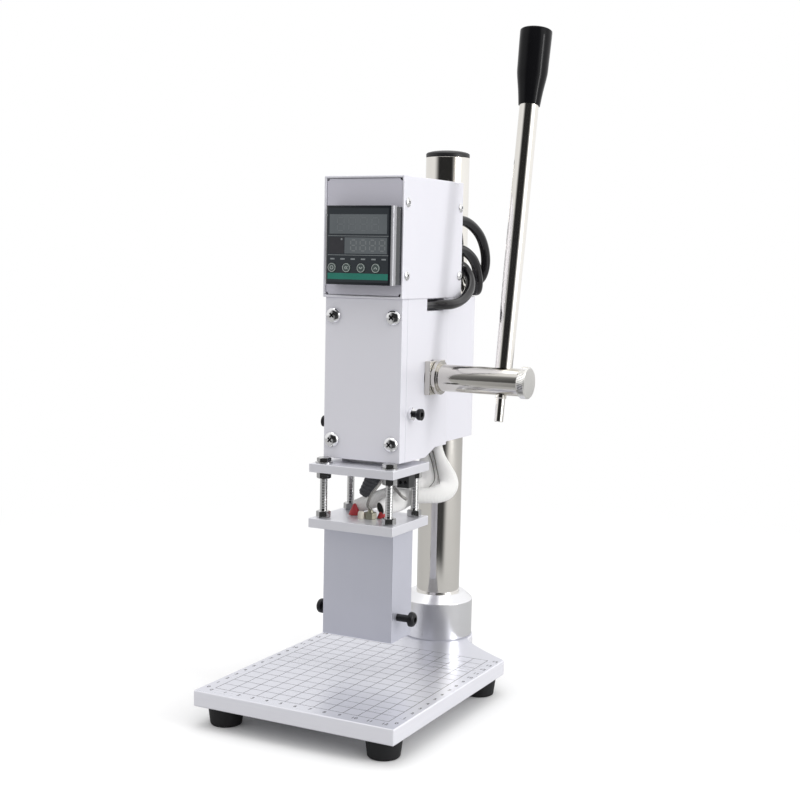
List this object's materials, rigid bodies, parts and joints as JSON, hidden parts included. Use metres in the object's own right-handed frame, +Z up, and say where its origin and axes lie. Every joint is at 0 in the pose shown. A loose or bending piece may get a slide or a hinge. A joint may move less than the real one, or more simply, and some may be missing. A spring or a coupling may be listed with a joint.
{
  "type": "hot stamping machine",
  "caption": "Bench hot stamping machine with a heated block on a lever-driven ram, a clamped head on a column, a control box and a table plate.",
  "frame": {"origin": "middle of the whole machine's outline in plan, on the bench under its feet", "axes": "+Z up along the column, +Y from the front to the column, +X to the side that has the lever"},
  "size_m": [0.1638, 0.2252, 0.4338],
  "materials": {
    "table_plate": "polished, with fine scratches",
    "foot_rubber": "moulded",
    "turned_aluminium": "turned",
    "polished_steel": "nickel plated and polished",
    "plain_steel": "machined",
    "bronze": "sintered",
    "silver_housing": "satin silver",
    "cage_plate": "satin",
    "heater_metal": "brushed",
    "chrome_screws": "plated",
    "black_screws": "black oxide",
    "black_plastic": "fine grain",
    "key_rubber": "soft touch",
    "lead_sheath": "smooth sheath",
    "glass_sleeving": "braided",
    "heater_seal": "silicone",
    "grey_rubber": "ribbed",
    "probe_metal": "satin",
    "black_gloss": "high gloss"
  },
  "bodies": {
    "base": {"base_plate": "table_plate", "foot_front_left": "foot_rubber", "foot_front_right": "foot_rubber", "foot_rear_left": "foot_rubber", "foot_rear_right": "foot_rubber", "column_collar": "turned_aluminium", "column_bolt": "plain_steel"},
    "column": {"column": "polished_steel", "column_cap": "black_plastic"},
    "head": {"head_body": "silver_housing", "front_cover": "silver_housing", "cover_screw_low_left": "chrome_screws", "cover_screw_low_right": "chrome_screws", "cover_screw_high_left": "chrome_screws", "cover_screw_high_right": "chrome_screws", "clamp_screw_low": "black_screws", "clamp_screw_high": "black_screws", "bearing_right": "polished_steel", "bush_left": "bronze", "guide_screw_right": "black_screws", "guide_screw_left": "black_screws", "return_spring": "plain_steel", "box_shell": "silver_housing", "box_front_panel": "silver_housing", "box_rear_panel": "silver_housing", "gland_upper": "black_plastic", "gland_middle": "black_plastic", "gland_lower": "black_plastic", "gland_mains": "black_plastic", "controller_case": "black_plastic", "controller_face": "black_plastic", "lead_lower": "lead_sheath", "lead_middle": "lead_sheath", "lead_upper": "lead_sheath", "heater_wires": "glass_sleeving"},
    "key_1": {"key_1": "key_rubber"},
    "key_2": {"key_2": "key_rubber"},
    "key_3": {"key_3": "key_rubber"},
    "key_4": {"key_4": "key_rubber"},
    "lever": {"pinion": "plain_steel", "lever_shaft": "polished_steel", "end_cap": "plain_steel", "lever_rod": "polished_steel", "lever_grip": "black_gloss"},
    "ram": {"ram_bar": "plain_steel", "upper_plate": "cage_plate", "lower_plate": "cage_plate", "stud_front_left": "chrome_screws", "stud_front_right": "chrome_screws", "stud_rear_left": "chrome_screws", "stud_rear_right": "chrome_screws", "heater_block": "heater_metal", "heater_cartridge_left": "heater_seal", "heater_cartridge_right": "heater_seal", "thermocouple": "probe_metal", "thermocouple_sleeve": "grey_rubber", "terminal_block": "black_plastic"},
    "type_screw_right": {"type_screw_right": "black_screws"},
    "type_screw_left": {"type_screw_left": "black_screws"}
  },
  "joints": [
    {"name": "head_swing", "type": "hinge", "parent": "base", "child": "column", "pos_m": [-0.0129, 0.0839, 0], "axis": [0, 0, 1], "range_deg": [-45, 45]},
    {"name": "head_height", "type": "slide", "parent": "column", "child": "head", "axis": [0, 0, 1], "range_m": [-0.02, 0.085]},
    {"name": "lever_swing", "type": "hinge", "parent": "head", "child": "lever", "pos_m": [0, 0.0109, 0.2112], "axis": [1, 0, 0], "range_deg": [0, 92]},
    {"name": "ram_slide", "type": "slide", "parent": "head", "child": "ram", "axis": [0, 0, -1], "range_m": [0, 0.0225], "stiffness_N_per_m": 600, "springref_m": -0.035, "deforming": ["return_spring", "heater_wires"]},
    {"name": "type_screw_right_travel", "type": "slide", "parent": "ram", "child": "type_screw_right", "axis": [-1, 0, 0], "range_m": [-0.004, 0.0085]},
    {"name": "type_screw_left_travel", "type": "slide", "parent": "ram", "child": "type_screw_left", "axis": [1, 0, 0], "range_m": [-0.008, 0.0038]},
    {"name": "key_1_press", "type": "slide", "parent": "head", "child": "key_1", "axis": [0, 1, 0], "range_m": [0, 0.0005], "stiffness_N_per_m": 400},
    {"name": "key_2_press", "type": "slide", "parent": "head", "child": "key_2", "axis": [0, 1, 0], "range_m": [0, 0.0005], "stiffness_N_per_m": 400},
    {"name": "key_3_press", "type": "slide", "parent": "head", "child": "key_3", "axis": [0, 1, 0], "range_m": [0, 0.0005], "stiffness_N_per_m": 400},
    {"name": "key_4_press", "type": "slide", "parent": "head", "child": "key_4", "axis": [0, 1, 0], "range_m": [0, 0.0005], "stiffness_N_per_m": 400}
  ],
  "couplings": [
    {"joint": "ram_slide", "follows": "lever_swing", "m_per_rad": 0.014}
  ]
}
